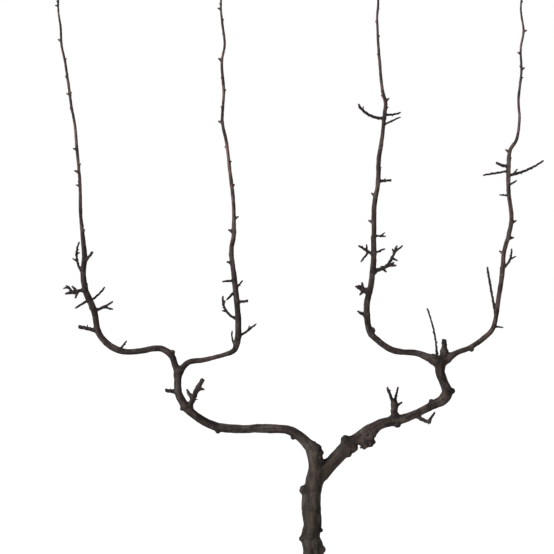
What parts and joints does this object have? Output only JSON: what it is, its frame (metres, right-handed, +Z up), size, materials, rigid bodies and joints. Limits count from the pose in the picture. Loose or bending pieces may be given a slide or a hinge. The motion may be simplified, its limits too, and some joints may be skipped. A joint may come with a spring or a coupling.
{
  "type": "espaliered apple tree",
  "caption": "bare espalier apple tree: short trunk forking into two boughs that turn up into upright arms with fruiting spurs, rooted in the ground",
  "frame": {"origin": "centre of the flat cut under the trunk, at ground level", "axes": "+Z is up, the arms spread along X with the right arms at +X, and the tree's front faces -Y"},
  "size_m": [1.0231, 0.0689, 1.445],
  "materials": {
    "bark": "rough grey-brown bark, finely fissured",
    "young_bark": "smoother reddish-brown young bark",
    "spur_wood": "dark ringed bark of bare fruiting spurs"
  },
  "bodies": {
    "root": {"trunk": "bark", "left_inner_branch": "bark", "left_inner_leader": "young_bark", "left_inner_upright": "bark", "left_lower_bough": "bark", "left_outer_branch": "bark", "left_outer_leader": "young_bark", "left_outer_upright": "bark", "left_riser": "bark", "right_inner_branch": "bark", "right_inner_leader": "young_bark", "right_inner_upright": "bark", "right_lower_bough": "bark", "right_outer_branch": "bark", "right_outer_leader": "young_bark", "right_outer_upright": "bark", "right_riser": "bark", "left_bough_stub": "spur_wood", "left_inner_spur_1": "spur_wood", "left_inner_spur_2": "spur_wood", "left_inner_spur_3": "spur_wood", "left_inner_spur_4": "spur_wood", "left_inner_spur_5": "spur_wood", "left_inner_spur_6": "spur_wood", "left_inner_spur_7": "spur_wood", "left_inner_spur_8": "spur_wood", "left_outer_spur_1": "spur_wood", "left_outer_spur_2": "spur_wood", "left_outer_spur_3": "spur_wood", "left_outer_spur_4": "spur_wood", "left_outer_spur_5": "spur_wood", "left_outer_spur_6": "spur_wood", "left_outer_spur_7": "spur_wood", "left_outer_spur_8": "spur_wood", "left_riser_spur": "spur_wood", "left_riser_stub": "spur_wood", "right_bough_burr": "spur_wood", "right_bough_hook": "spur_wood", "right_bough_spur": "spur_wood", "right_head_stub": "spur_wood", "right_head_whip": "spur_wood", "right_inner_spur_1": "spur_wood", "right_inner_spur_10": "spur_wood", "right_inner_spur_2": "spur_wood", "right_inner_spur_3": "spur_wood", "right_inner_spur_4": "spur_wood", "right_inner_spur_5": "spur_wood", "right_inner_spur_6": "spur_wood", "right_inner_spur_7": "spur_wood", "right_inner_spur_8": "spur_wood", "right_inner_spur_9": "spur_wood", "right_outer_spur_1": "spur_wood", "right_outer_spur_2": "spur_wood", "right_outer_spur_3": "spur_wood", "right_outer_spur_4": "spur_wood", "right_outer_spur_5": "spur_wood", "right_outer_spur_6": "spur_wood", "right_outer_spur_7": "spur_wood", "right_outer_spur_8": "spur_wood"}
  },
  "joints": []
}
